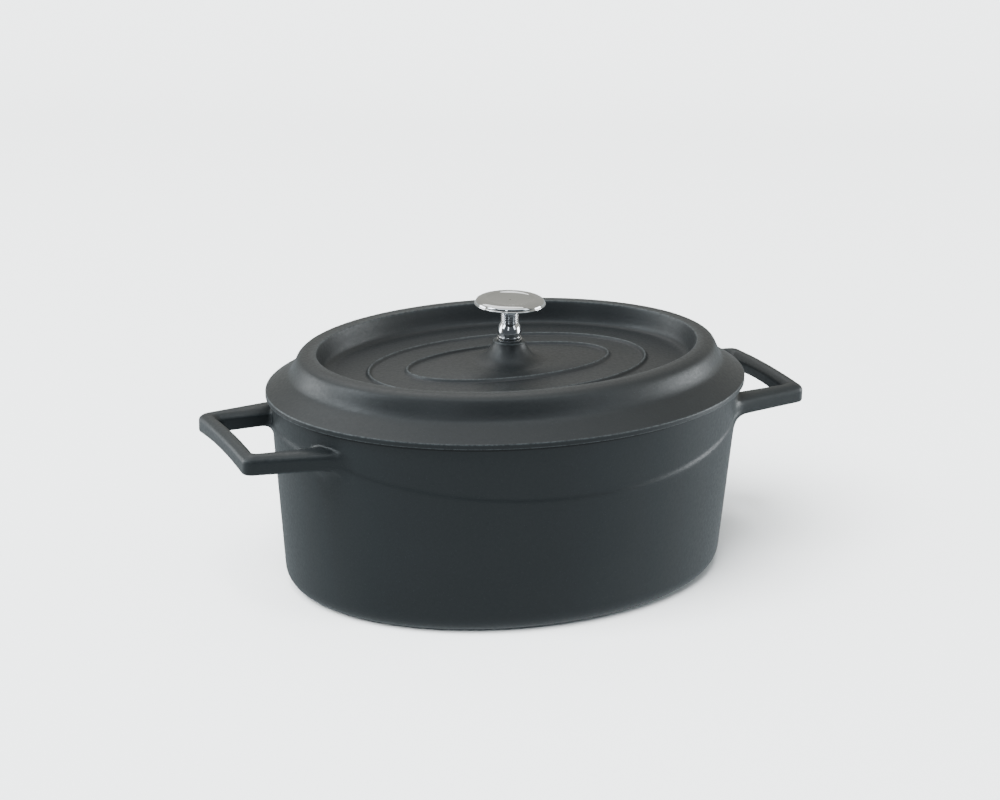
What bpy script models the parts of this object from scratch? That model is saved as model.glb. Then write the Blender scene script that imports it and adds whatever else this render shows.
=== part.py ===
"""An oval cast iron dutch oven with a lift-off lid and a turned metal knob.

The pot is one casting with two loop handles. The lid is a second casting. It rests on the
pot's rim, and a ridge under it keeps it in the mouth. The knob is a thin polished cap on a
turned stem, drawn down on the lid's boss by a screw from below.

Frame: metres, +Z up, the origin at the centre of the pot's underside, +X along the handles.
Every oval is the lid's edge with the same inset taken off both half sizes, so a profile is a
list of (inset, height) pairs.
"""
import math

import bmesh
import bpy

MM = 0.001

# Overall sizes
LID_LENGTH = 290.0 * MM
LID_WIDTH = 225.2 * MM
POT_HEIGHT = 114.0 * MM

# Pot
RIM_SETBACK = 2.5 * MM        # the rim's outer edge lies this far inside the lid's edge
WALL = 4.5 * MM
FLOOR = 5.0 * MM
WALL_DRAFT = 4.6              # degrees that the wall leans outwards
BASE_RADIUS = 12.0 * MM
RIM_RADIUS = 1.0 * MM
WAVE_DROP = 33.0 * MM         # from the rim down to the crease at the middle of the long side
WAVE_RISE = 11.0 * MM         # how much higher it is at WAVE_END short of the lid's end
WAVE_END = 30.0 * MM
WAVE_POWER = 2.4
WAVE_STEP = 0.7 * MM          # the wall above the crease is set back by this
WAVE_BAND = 2.6 * MM          # height over which the step happens

# Loop handles
LOOP_STANDOFF = 32.2 * MM     # from the lid's end to the outer face of the bar
LOOP_HALF_WIDTH = 41.9 * MM   # half the length of the bar, over its corners
LOOP_BAR = 9.0 * MM           # width of the bar
LOOP_LEG = 9.1 * MM           # width of a leg where it meets the bar
LOOP_ROOT_OUTER = 51.3 * MM   # half distance over the legs at the wall
LOOP_ROOT_INNER = 33.0 * MM   # half distance between the legs at the wall
LOOP_DROP = 9.2 * MM          # from the pot's rim down to the loop's top
LOOP_THICK = 10.9 * MM
LOOP_ARCH = 2.2 * MM          # how much the bar's underside rises at its middle
LOOP_CROWN = 1.0 * MM         # how much the bar's top rises at its middle
LOOP_EDGE = 3.2 * MM          # rounding of the section's edges
LOOP_CORNER_OUTER = 5.2 * MM
LOOP_CORNER_INNER = 4.0 * MM
GUSSET = 11.0 * MM            # fillet under each leg, where it runs into the wall
ROOT_DEPTH = 2.4 * MM         # how deep a leg's end lies in the wall

# Lid
SEAT_GAP = 0.3 * MM           # between the rim and the lid that rests on it
LID_WALL = 4.2 * MM
BAND = 3.3 * MM               # height of the upright edge
BAND_BEVEL = 0.5 * MM
FLANGE_RISE = 6.9 * MM        # the sloping flange rises by this from the band's top
FLANGE_WIDTH = 11.5 * MM
RING_FOOT = 14.6 * MM         # insets of the raised ring, from its foot outside
RING_SHOULDER = 18.6 * MM
RING_TOP = 24.0 * MM
RING_EDGE = 29.3 * MM
RING_HEIGHT = 24.2 * MM       # from the lid's seat to the top of the ring
RING_INNER_FOOT = 32.2 * MM
RING_BLEND = (1.2 * MM, 1.4 * MM)     # the hollow between flange and ring: run and rise
RING_FOOT_RISE = 3.2 * MM
RING_SHOULDER_EASE = ((1.0 * MM, 4.2 * MM), (0.0, 2.2 * MM), (-2.0 * MM, 0.6 * MM))  # run, drop
RING_EDGE_ROUND = (0.8 * MM, 0.1 * MM, 0.7 * MM)
RING_INNER_BLEND = ((0.0, 3.4 * MM), (1.6 * MM, 1.0 * MM))
PANEL_EDGE = 36.8 * MM        # inset where the dished panel starts
PANEL_HEIGHT = 10.5 * MM      # from the lid's seat to the panel's edge
PANEL_DOME = 3.6 * MM         # how much the panel rises to its middle
RIB_HALF_WIDTHS = (53.0 * MM, 30.6 * MM)
RIB_HEIGHT = 1.6 * MM
RIB_WIDTH = 5.0 * MM
RIB_CREST = 1.4 * MM
RIDGE_CLEARANCE = 1.2 * MM    # between the ridge under the lid and the pot's mouth
RIDGE_WALL = 3.5 * MM
RIDGE_DEPTH = 5.0 * MM
BOSS_RADIUS = 9.2 * MM
BOSS_HEIGHT = 12.0 * MM       # above the middle of the panel
BOSS_FLARE = 11.5 * MM        # how far the boss spreads at its foot
PAD_RADIUS = 12.0 * MM        # flat pad under the lid for the screw's washer

# Knob
CAP_RADIUS = 20.7 * MM
CAP_LIP = 0.8 * MM            # height of the cap's rim
CAP_SHOULDER = 2.7 * MM       # the polished shoulder above the rim
CAP_CONE = 1.3 * MM           # height of the shallow cone under the cap
CAP_CROWN_RADIUS = 14.4 * MM  # edge of the dished top
CAP_EASE = 0.5 * MM
CAP_DISH = 1.0 * MM           # how deep the cap's top is dished
STEM_FOOT_RADIUS = 6.8 * MM
STEM_COLLAR_RADIUS = 7.0 * MM
STEM_NECK_RADIUS = 5.1 * MM
STEM_TOP_RADIUS = 7.6 * MM
STEM_FOOT = 1.7 * MM
STEM_COLLAR = 2.0 * MM
STEM_CONE = 5.4 * MM
STEM_NECK = 9.6 * MM
NECK_RINGS = 5
NECK_RING_PITCH = 1.45 * MM
NECK_RING_RELIEF = 0.3 * MM
STEM_GROOVE = 0.5 * MM
STEM_EASE = 0.3 * MM
STEM_BELL = 1.1 * MM          # how much wider the cone is than the neck past its middle
STEM_FLARE = 1.5 * MM         # height of the flare under the cap
FOOT_RING_RADIUS = 7.3 * MM
FOOT_RING = 1.0 * MM
TENON_RADIUS = 4.0 * MM
TENON_HEIGHT = 1.6 * MM

# Fixings
SCREW_RADIUS = 3.0 * MM
SCREW_HEAD_RADIUS = 6.0 * MM
SCREW_HEAD = 3.6 * MM
SCREW_GRIP = 9.0 * MM         # how far the screw reaches into the stem
SCREW_SLOT = 1.4 * MM
SCREW_SLOT_DEPTH = 1.3 * MM
FLAT_WASHER_RADIUS = 7.5 * MM
FLAT_WASHER = 1.2 * MM
SPRING_WASHER_RADIUS = 5.6 * MM
SPRING_WASHER = 1.5 * MM
SPRING_WASHER_SPLIT = 14.0    # degrees left open
FACE_GAP = 0.3 * MM           # between faces that touch on the real object
HOLE_CLEARANCE = 0.5 * MM     # round the screw in the lid's hole and the foot ring
THREAD_CLEARANCE = 0.3 * MM   # round the screw where its thread would be

# How finely curves are drawn
OVAL_COLUMNS = 72
CAP_COLUMNS = 36
ROUND_COLUMNS = 24
SMOOTH_ANGLE = 35.0           # degrees; edges flatter than this are shaded smooth

# What follows from them
HALF_LENGTH = LID_LENGTH / 2
HALF_WIDTH = LID_WIDTH / 2
DRAFT = math.radians(WALL_DRAFT)
WAVE_LOW = POT_HEIGHT - WAVE_DROP
WAVE_SPAN = HALF_LENGTH - WAVE_END
LOOP_REACH = HALF_LENGTH + LOOP_STANDOFF
RIB_INSETS = tuple(HALF_WIDTH - half for half in RIB_HALF_WIDTHS)
SEAT = POT_HEIGHT + SEAT_GAP
MOUTH_INSET = RIM_SETBACK + WALL
PANEL_LEVEL = SEAT + PANEL_HEIGHT
PANEL_MIDDLE = PANEL_LEVEL + PANEL_DOME
BOSS_TOP = PANEL_MIDDLE + BOSS_HEIGHT
PAD_LEVEL = PANEL_MIDDLE - LID_WALL
FOOT_RING_LEVEL = BOSS_TOP + FACE_GAP
STEM_LEVEL = FOOT_RING_LEVEL + FOOT_RING + FACE_GAP
CAP_LEVEL = STEM_LEVEL + STEM_FOOT + STEM_COLLAR + STEM_CONE + STEM_NECK + FACE_GAP
LOOP_TOP = POT_HEIGHT - LOOP_DROP


def arc(centre, radius, start, end, steps):
    """Points on an arc in the profile plane, with angles in degrees."""
    points = []
    for k in range(steps + 1):
        angle = math.radians(start + (end - start) * k / steps)
        points.append((centre[0] + radius * math.cos(angle), centre[1] + radius * math.sin(angle)))
    return points


def oval_point(column, inset):
    """A point on the oval that lies inset inside the lid's edge."""
    angle = 2 * math.pi * column / OVAL_COLUMNS
    return (HALF_LENGTH - inset) * math.cos(angle), (HALF_WIDTH - inset) * math.sin(angle)


def oval_ring(inset, height):
    """One level ring of an oval body."""
    points = []
    for column in range(OVAL_COLUMNS):
        x, y = oval_point(column, inset)
        points.append((x, y, height))
    return points


def round_ring(radius, height, columns=ROUND_COLUMNS):
    """One level ring of a turned body."""
    points = []
    for column in range(columns):
        angle = 2 * math.pi * column / columns
        points.append((radius * math.cos(angle), radius * math.sin(angle), height))
    return points


def skin(name, rings, finish, endless=False):
    """A closed body over rings of points, each one joined to the next.

    The rings run up the outside of the body. An endless body joins its last ring to its
    first, as round a hole, and any other is capped at both ends.
    """
    mesh = bpy.data.meshes.new(name)
    shape = bmesh.new()
    loops = [[shape.verts.new(point) for point in ring] for ring in rings]
    count = len(loops[0])
    pairs = list(zip(loops, loops[1:]))
    if endless:
        pairs.append((loops[-1], loops[0]))
    else:
        shape.faces.new(list(reversed(loops[0])))
        shape.faces.new(loops[-1])
    for lower, upper in pairs:
        for k in range(count):
            following = (k + 1) % count
            shape.faces.new((lower[k], lower[following], upper[following], upper[k]))
    bmesh.ops.recalc_face_normals(shape, faces=shape.faces)
    shape.to_mesh(mesh)
    shape.free()
    mesh.shade_smooth()
    mesh.set_sharp_from_angle(angle=math.radians(SMOOTH_ANGLE))
    body = bpy.data.objects.new(name, mesh)
    body.data.materials.append(finish)
    bpy.context.scene.collection.objects.link(body)
    return body


def material(name, colour, roughness, metallic):
    """A plain Principled material."""
    finish = bpy.data.materials.new(name)
    finish.use_nodes = True
    shader = finish.node_tree.nodes["Principled BSDF"]
    shader.inputs["Base Color"].default_value = (*colour, 1.0)
    shader.inputs["Roughness"].default_value = roughness
    shader.inputs["Metallic"].default_value = metallic
    return finish


def boolean(body, other, operation):
    """Unites or cuts with another object, which is left out of the model."""
    change = body.modifiers.new(operation.title(), "BOOLEAN")
    change.operation = operation
    change.solver = "EXACT"
    change.object = other
    other.hide_render = True
    other.display_type = "WIRE"


# Pot

def outer_inset(height):
    """How far the plain outer wall lies inside the lid's edge at a height."""
    return RIM_SETBACK + (POT_HEIGHT - height) * math.tan(DRAFT)


def wave_height(x):
    """The height of the crease along the long walls."""
    return WAVE_LOW + WAVE_RISE * (abs(x) / WAVE_SPAN) ** WAVE_POWER


def wave_ring(shift, setback):
    """A ring that follows the crease, shift above it."""
    points = []
    for column in range(OVAL_COLUMNS):
        x = oval_point(column, RIM_SETBACK)[0]
        height = wave_height(x) + shift
        x, y = oval_point(column, outer_inset(height) + setback)
        points.append((x, y, height))
    return points


def corner_arc(radius, wall_inset, floor_level, steps):
    """The round between a leaning wall and the floor under it, from the wall down."""
    height = floor_level + radius
    touch = height - radius * math.sin(DRAFT)
    centre = wall_inset(touch) + radius * math.cos(DRAFT)
    return arc((centre, height), radius, 180 + WALL_DRAFT, 270, steps)


def inner_inset(height):
    """The same for the wall inside, which keeps the wall's thickness."""
    return outer_inset(height) + WALL / math.cos(DRAFT)


def pot_body(finish):
    """The oval vessel: outside wall, rim, inside wall and floor."""
    corner = list(reversed(corner_arc(BASE_RADIUS, outer_inset, 0.0, 5)))
    rings = [oval_ring(inset, height) for inset, height in corner]
    rings.append(wave_ring(-WAVE_BAND / 2, 0.0))
    rings.append(wave_ring(WAVE_BAND / 2, WAVE_STEP))
    outside = RIM_SETBACK + RIM_RADIUS
    rings += [oval_ring(*point) for point in arc((outside, POT_HEIGHT - RIM_RADIUS), RIM_RADIUS, 180, 90, 2)]
    inside = inner_inset(POT_HEIGHT) - RIM_RADIUS
    rings += [oval_ring(*point) for point in arc((inside, POT_HEIGHT - RIM_RADIUS), RIM_RADIUS, 90, 0, 2)]
    inner_radius = BASE_RADIUS - WALL / 2
    rings += [oval_ring(*point) for point in corner_arc(inner_radius, inner_inset, FLOOR, 4)]
    return skin("pot", rings, finish)


def wall_x(y, height):
    """Where the outer wall stands at a distance y from the middle of the end."""
    inset = outer_inset(height)
    return (HALF_LENGTH - inset) * math.sqrt(1 - (y / (HALF_WIDTH - inset)) ** 2)


def loop_edge(reach, half_width, root, radius):
    """One half of the loop's inner or outer edge, from the wall to the middle of the bar."""
    level = LOOP_TOP - LOOP_THICK / 2
    start = wall_x(root, level)
    lean = math.atan2(root - half_width, reach - start)
    turn = radius * math.tan((math.pi / 2 - lean) / 2)
    leg_end = (reach - turn * math.cos(lean), half_width + turn * math.sin(lean))
    edge = []
    for share in (-ROOT_DEPTH, 0.0, GUSSET * 0.12, GUSSET * 0.3, GUSSET * 0.6, GUSSET):
        edge.append((start + share, root - share * math.tan(lean)))
    edge.append(((start + GUSSET + leg_end[0]) / 2, (edge[-1][1] + leg_end[1]) / 2))
    centre = (reach - radius, half_width - turn)
    sweep = math.degrees(math.pi / 2 - lean)
    edge += list(reversed(arc(centre, radius, 0, sweep, 4)))
    for share in (0.66, 0.33, 0.0):
        edge.append((reach, (half_width - turn) * share))
    return edge


def loop_section(inner, outer, low, high):
    """A rounded rectangle from the loop's inner edge to its outer edge."""
    width = math.hypot(outer[0] - inner[0], outer[1] - inner[1])
    edge = min(LOOP_EDGE, width * 0.45, (high - low) * 0.45)
    outline = arc((width - edge, high - edge), edge, 0, 90, 2)
    outline += arc((edge, high - edge), edge, 90, 180, 2)
    outline += arc((edge, low + edge), edge, 180, 270, 2)
    outline += arc((width - edge, low + edge), edge, 270, 360, 2)
    points = []
    for across, height in outline:
        share = across / width
        x = inner[0] + (outer[0] - inner[0]) * share
        y = inner[1] + (outer[1] - inner[1]) * share
        points.append((x, y, height))
    return points


def gusset_drop(distance):
    """How much lower a leg's underside lies at a distance from the wall."""
    if distance >= GUSSET:
        return 0.0
    short = GUSSET - max(distance, GUSSET * 0.04)
    return GUSSET - math.sqrt(GUSSET ** 2 - short ** 2)


def loop_handle(side, finish):
    """One loop, as sections swept from one root round the bar to the other root."""
    outer = loop_edge(LOOP_REACH, LOOP_HALF_WIDTH, LOOP_ROOT_OUTER, LOOP_CORNER_OUTER)
    inner = loop_edge(LOOP_REACH - LOOP_BAR, LOOP_HALF_WIDTH - LOOP_LEG, LOOP_ROOT_INNER, LOOP_CORNER_INNER)
    half = []
    for near, far in zip(inner, outer):
        share = 1 - min(1.0, far[1] / (LOOP_HALF_WIDTH - LOOP_CORNER_OUTER)) ** 2
        distance = far[0] - outer[1][0]
        low = LOOP_TOP - LOOP_THICK + LOOP_ARCH * share - gusset_drop(distance)
        half.append(loop_section(near, far, low, LOOP_TOP + LOOP_CROWN * share))
    other = [[(x, -y, z) for x, y, z in section] for section in reversed(half[:-1])]
    sections = [[(side * x, y, z) for x, y, z in section] for section in half + other]
    return skin("loop", sections, finish)


def make_pot(finish):
    """The pot and its two handles, united as one casting."""
    pot = pot_body(finish)
    for side in (1, -1):
        boolean(pot, loop_handle(side, finish), "UNION")
    return pot


# Lid

def panel_height(inset):
    """The height of the dished panel, which rises a little to its middle."""
    share = (inset - PANEL_EDGE) / (HALF_WIDTH - PANEL_EDGE)
    return PANEL_LEVEL + PANEL_DOME * share ** 1.5


def rib_points(inset):
    """The profile across one raised rib of the panel."""
    foot = RIB_WIDTH / 2
    crest = RIB_CREST / 2
    level = panel_height(inset)
    return [
        (inset - foot, panel_height(inset - foot)),
        (inset - crest, level + RIB_HEIGHT),
        (inset + crest, level + RIB_HEIGHT),
        (inset + foot, panel_height(inset + foot)),
    ]


def lid_top():
    """The lid's upper side from the edge inwards."""
    band_top = SEAT + BAND
    flange = band_top + FLANGE_RISE
    ring = SEAT + RING_HEIGHT
    blend_run, blend_rise = RING_BLEND
    edge_run, edge_dip, edge_drop = RING_EDGE_ROUND
    points = [
        (BAND_BEVEL, SEAT),
        (0.0, SEAT + BAND_BEVEL),
        (0.0, band_top - BAND_BEVEL),
        (BAND_BEVEL, band_top),
        (FLANGE_WIDTH, flange),
        (RING_FOOT - blend_run, flange + blend_rise),
        (RING_FOOT, flange + RING_FOOT_RISE),
    ]
    points += [(RING_SHOULDER - run, ring - drop) for run, drop in RING_SHOULDER_EASE]
    points += [
        (RING_TOP, ring),
        (RING_EDGE - edge_run, ring - edge_dip),
        (RING_EDGE, ring - edge_drop),
    ]
    points += [(RING_INNER_FOOT + run, PANEL_LEVEL + rise) for run, rise in RING_INNER_BLEND]
    points.append((PANEL_EDGE, panel_height(PANEL_EDGE)))
    for inset in RIB_INSETS:
        points += rib_points(inset)
    return points


def lid_underside():
    """The lid's lower side from the middle of the panel out to the edge."""
    ring = SEAT + RING_HEIGHT - LID_WALL
    panel = PANEL_LEVEL - LID_WALL
    ridge_outside = MOUTH_INSET + RIDGE_CLEARANCE
    ridge_inside = ridge_outside + RIDGE_WALL
    ridge_foot = SEAT - RIDGE_DEPTH
    return [
        (RIB_INSETS[1], panel + PANEL_DOME * 0.5),
        (RIB_INSETS[0], panel + PANEL_DOME * 0.18),
        (PANEL_EDGE - 1.0 * MM, panel),
        (RING_INNER_FOOT - 2.4 * MM, panel + 1.2 * MM),
        (RING_INNER_FOOT - 4.0 * MM, panel + 3.6 * MM),
        (RING_EDGE - LID_WALL + 0.9 * MM, ring - 1.2 * MM),
        (RING_TOP - 1.2 * MM, ring),
        (RING_SHOULDER + 2.6 * MM, ring - 1.6 * MM),
        (RING_FOOT + 3.6 * MM, SEAT + BAND + FLANGE_RISE - 2.6 * MM),
        (ridge_inside, SEAT + 1.5 * MM),
        (ridge_inside, ridge_foot + 1.0 * MM),
        (ridge_inside - 1.0 * MM, ridge_foot),
        (ridge_outside + 0.6 * MM, ridge_foot),
        (ridge_outside, ridge_foot + 0.6 * MM),
        (ridge_outside, SEAT),
    ]


def boss_profile():
    """The round boss, from its spread foot on the panel up to its flat top."""
    points = []
    for k in range(6):
        share = k / 5
        radius = BOSS_RADIUS + BOSS_FLARE * (1 - share) ** 2.2
        points.append((radius, PANEL_MIDDLE + (BOSS_HEIGHT - BAND_BEVEL) * share ** 1.35))
    points.append((BOSS_RADIUS - BAND_BEVEL, BOSS_TOP))
    return points


def make_lid(finish):
    """The lid, with the screw's hole through its boss."""
    hole = SCREW_RADIUS + HOLE_CLEARANCE
    rings = [oval_ring(*point) for point in lid_top()]
    rings += [round_ring(*point, OVAL_COLUMNS) for point in boss_profile()]
    rings.append(round_ring(hole, BOSS_TOP, OVAL_COLUMNS))
    rings.append(round_ring(hole, PAD_LEVEL, OVAL_COLUMNS))
    rings.append(round_ring(PAD_RADIUS, PAD_LEVEL, OVAL_COLUMNS))
    rings += [oval_ring(*point) for point in lid_underside()]
    return skin("lid", rings, finish, endless=True)


# Knob

def stem_profile():
    """The turned outside of the stem from its foot up."""
    foot = STEM_LEVEL + STEM_FOOT
    collar = foot + STEM_COLLAR
    cone = collar + STEM_CONE
    top = cone + STEM_NECK
    points = [
        (STEM_FOOT_RADIUS - STEM_EASE, STEM_LEVEL),
        (STEM_FOOT_RADIUS, STEM_LEVEL + STEM_EASE),
        (STEM_FOOT_RADIUS, foot - STEM_GROOVE),
        (STEM_FOOT_RADIUS - STEM_GROOVE, foot - STEM_GROOVE / 2),
        (STEM_FOOT_RADIUS, foot),
        (STEM_COLLAR_RADIUS, collar - STEM_GROOVE),
        (STEM_COLLAR_RADIUS, collar),
        (STEM_NECK_RADIUS + STEM_BELL, collar + STEM_CONE * 0.55),
        (STEM_NECK_RADIUS, cone),
    ]
    for ring in range(NECK_RINGS):
        low = cone + ring * NECK_RING_PITCH
        points.append((STEM_NECK_RADIUS - NECK_RING_RELIEF, low + NECK_RING_PITCH * 0.2))
        points.append((STEM_NECK_RADIUS, low + NECK_RING_PITCH * 0.45))
        points.append((STEM_NECK_RADIUS, low + NECK_RING_PITCH * 0.85))
    points += [
        (STEM_NECK_RADIUS + STEM_EASE, top - STEM_FLARE),
        (STEM_TOP_RADIUS, top),
        (TENON_RADIUS, top),
        (TENON_RADIUS, top + TENON_HEIGHT),
    ]
    return points


def make_stem(finish):
    """The stem, with a blind bore for the screw."""
    bore = SCREW_RADIUS + THREAD_CLEARANCE
    bore_end = STEM_LEVEL + SCREW_GRIP + FACE_GAP
    rings = [round_ring(bore, bore_end), round_ring(bore, STEM_LEVEL)]
    rings += [round_ring(*point) for point in stem_profile()]
    return skin("knob_stem", rings, finish)


def make_cap(finish):
    """The thin polished cap, with a pocket for the stem's tenon."""
    pocket = TENON_RADIUS + FACE_GAP
    pocket_top = CAP_LEVEL + TENON_HEIGHT
    lip = CAP_LEVEL + CAP_CONE
    top = lip + CAP_LIP + CAP_SHOULDER
    profile = [
        (pocket, pocket_top),
        (pocket, CAP_LEVEL),
        (STEM_TOP_RADIUS, CAP_LEVEL),
        (CAP_RADIUS * 0.7, CAP_LEVEL + CAP_CONE * 0.45),
        (CAP_RADIUS - CAP_EASE, lip),
        (CAP_RADIUS, lip + CAP_LIP * 0.35),
        (CAP_RADIUS, lip + CAP_LIP),
    ]
    for share in (0.25, 0.5, 0.75):
        radius = CAP_RADIUS - (CAP_RADIUS - CAP_CROWN_RADIUS) * share
        profile.append((radius, lip + CAP_LIP + CAP_SHOULDER * math.sin(share * math.pi / 2)))
    profile += [
        (CAP_CROWN_RADIUS, top),
        (CAP_CROWN_RADIUS * 0.9, top - CAP_DISH * 0.4),
        (CAP_RADIUS * 0.5, top - CAP_DISH * 0.8),
        (CAP_RADIUS * 0.2, top - CAP_DISH),
    ]
    return skin("knob_cap", [round_ring(*point, CAP_COLUMNS) for point in profile], finish)


def washer(name, inner, outer, low, high, finish):
    """A flat ring."""
    rings = [round_ring(*point) for point in ((inner, low), (outer, low), (outer, high), (inner, high))]
    return skin(name, rings, finish, endless=True)


# Fixings

def make_spring_washer(low, finish):
    """A split ring, drawn flat as it is when the screw is tight."""
    inner = SCREW_RADIUS + THREAD_CLEARANCE
    outer = SPRING_WASHER_RADIUS
    high = low + SPRING_WASHER
    corners = ((inner, low), (outer, low), (outer, high), (inner, high))
    sections = []
    for k in range(ROUND_COLUMNS + 1):
        open_half = SPRING_WASHER_SPLIT / 2
        angle = math.radians(open_half + (360 - SPRING_WASHER_SPLIT) * k / ROUND_COLUMNS)
        section = []
        for radius, height in corners:
            section.append((radius * math.cos(angle), radius * math.sin(angle), height))
        sections.append(section)
    return skin("spring_washer", sections, finish)


def make_screw(head_top, finish):
    """A slotted round-headed screw that comes up through the lid into the stem."""
    head_low = head_top - SCREW_HEAD
    tip = STEM_LEVEL + SCREW_GRIP
    profile = [
        (SCREW_HEAD_RADIUS * 0.62, head_low),
        (SCREW_HEAD_RADIUS * 0.88, head_low + SCREW_HEAD * 0.22),
        (SCREW_HEAD_RADIUS, head_low + SCREW_HEAD * 0.55),
        (SCREW_HEAD_RADIUS, head_top),
        (SCREW_RADIUS, head_top),
        (SCREW_RADIUS, tip - 0.8 * MM),
        (SCREW_RADIUS - 0.8 * MM, tip),
    ]
    screw = skin("knob_screw", [round_ring(*point) for point in profile], finish)
    half = SCREW_HEAD_RADIUS + 1.0 * MM
    low = head_low - 1.0 * MM
    high = head_low + SCREW_SLOT_DEPTH
    side = SCREW_SLOT / 2
    corners = ((-half, -side), (half, -side), (half, side), (-half, side))
    blade = [[(x, y, height) for x, y in corners] for height in (low, high)]
    boolean(screw, skin("slot_cutter", blade, finish), "DIFFERENCE")
    return screw


def make_fixings(steel, zinc):
    """Flat washer, spring washer and screw, stacked down from the pad under the lid."""
    hole = SCREW_RADIUS + HOLE_CLEARANCE
    flat_top = PAD_LEVEL - FACE_GAP
    spring_top = flat_top - FLAT_WASHER - FACE_GAP
    head_top = spring_top - SPRING_WASHER - FACE_GAP
    washer("flat_washer", hole, FLAT_WASHER_RADIUS, flat_top - FLAT_WASHER, flat_top, zinc)
    make_spring_washer(spring_top - SPRING_WASHER, steel)
    make_screw(head_top, zinc)


def main():
    """Builds the whole dutch oven."""
    for old in list(bpy.data.objects):
        bpy.data.objects.remove(old, do_unlink=True)
    enamel_pot = material("matt_enamel_pot", (0.032, 0.036, 0.039), 0.55, 0.0)
    enamel_lid = material("matt_enamel_lid", (0.036, 0.039, 0.040), 0.5, 0.0)
    chrome_cap = material("polished_chrome", (0.78, 0.79, 0.80), 0.05, 1.0)
    chrome_stem = material("turned_chrome", (0.72, 0.73, 0.75), 0.08, 1.0)
    chrome_ring = material("chrome_ring", (0.66, 0.67, 0.69), 0.15, 1.0)
    zinc = material("zinc_steel", (0.55, 0.55, 0.54), 0.35, 1.0)
    spring_steel = material("spring_steel", (0.25, 0.25, 0.26), 0.4, 1.0)
    make_pot(enamel_pot)
    make_lid(enamel_lid)
    washer("knob_foot_ring", SCREW_RADIUS + HOLE_CLEARANCE, FOOT_RING_RADIUS,
           FOOT_RING_LEVEL, FOOT_RING_LEVEL + FOOT_RING, chrome_ring)
    make_stem(chrome_stem)
    make_cap(chrome_cap)
    make_fixings(spring_steel, zinc)


main()
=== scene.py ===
"""The finished surfaces of an oval cast iron dutch oven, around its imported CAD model.

Each piece is a closed mesh that replaces its plain CAD node and rides on its body. Lengths
are in metres. Overall sizes are read from the frame; the others are the part's own sizes.
Every oval is the lid's edge with the same inset taken off both half sizes.
"""
import math

import bmesh
import bpy
import numpy as np
from mathutils import Matrix, Vector


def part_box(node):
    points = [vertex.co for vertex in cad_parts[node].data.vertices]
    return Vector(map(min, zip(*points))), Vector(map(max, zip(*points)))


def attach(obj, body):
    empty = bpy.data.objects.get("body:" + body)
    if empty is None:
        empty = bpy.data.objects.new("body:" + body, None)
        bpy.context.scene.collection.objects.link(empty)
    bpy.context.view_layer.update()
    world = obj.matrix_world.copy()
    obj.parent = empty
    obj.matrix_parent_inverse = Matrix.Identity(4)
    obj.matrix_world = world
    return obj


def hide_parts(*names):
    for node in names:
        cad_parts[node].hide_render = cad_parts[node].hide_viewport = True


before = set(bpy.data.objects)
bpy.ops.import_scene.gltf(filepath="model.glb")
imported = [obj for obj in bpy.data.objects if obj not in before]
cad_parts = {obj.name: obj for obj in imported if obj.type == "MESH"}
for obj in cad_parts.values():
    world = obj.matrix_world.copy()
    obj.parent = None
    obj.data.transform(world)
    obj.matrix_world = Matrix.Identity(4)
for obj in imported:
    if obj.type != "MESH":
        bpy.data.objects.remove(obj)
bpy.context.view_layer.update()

MM = 0.001

# Sizes that the frame gives
LID_LOW, LID_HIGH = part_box("lid")
POT_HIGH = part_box("pot")[1]
HALF_LENGTH = LID_HIGH.x
HALF_WIDTH = LID_HIGH.y
POT_HEIGHT = POT_HIGH.z
LOOP_REACH = POT_HIGH.x
BOSS_TOP = LID_HIGH.z
RIDGE_FOOT = LID_LOW.z

# Pot
SEAT = POT_HEIGHT + 0.3 * MM
RIM_SETBACK = 2.5 * MM
WALL = 4.5 * MM
FLOOR = 5.0 * MM
DRAFT = math.radians(4.6)
BASE_RADIUS = 12.0 * MM
RIM_RADIUS = 1.6 * MM
CREASE_LOW = POT_HEIGHT - 33.0 * MM
CREASE_RISE = 11.0 * MM
CREASE_SPAN = HALF_LENGTH - 30.0 * MM
CREASE_POWER = 2.4
CREASE_STEP = 0.75 * MM
CREASE_BAND = 2.6 * MM
CREASE_ROWS = 2.8 * MM        # half height of the finely ringed stretch at the crease
WALL_ROWS = (18, 16, 15)      # rings below, at and above the crease
FLOOR_RADIUS = 11.0 * MM
FLOOR_EDGE = 26.0 * MM
ROUND_STEPS = 8
CENTRE_SHARE = 0.06           # size of the small face that closes a flat oval

# Loop handles
LOOP_HALF_WIDTH = 41.9 * MM
LOOP_BAR = 9.4 * MM
LOOP_LEG = 9.1 * MM
ROOT_OUTER = 51.3 * MM
ROOT_INNER = 33.0 * MM
LOOP_TOP = POT_HEIGHT - 9.2 * MM
LOOP_THICK = 10.9 * MM
LOOP_ARCH = 2.2 * MM
LOOP_CROWN = 1.0 * MM
CORNER_OUTER = 5.2 * MM
CORNER_INNER = 4.0 * MM
FILLET_TOP = 2.0 * MM
FILLET_INNER = 4.0 * MM
FILLET_OUTER = 8.0 * MM
GUSSET = 12.5 * MM
NECK = 15.0 * MM              # from the wall to where a leg's fillets may start
WINDOW_INNER = 26.0 * MM      # half distances of the window that a leg takes in the wall
WINDOW_OUTER = 62.0 * MM
WINDOW_BELOW = 2.5 * MM       # wall left in the window below and above a leg's fillets
WINDOW_ABOVE = 2.0 * MM
INNER_SHOULDER = 0.69         # shares of the section's thickness
OUTER_SHOULDER = 0.78

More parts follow.
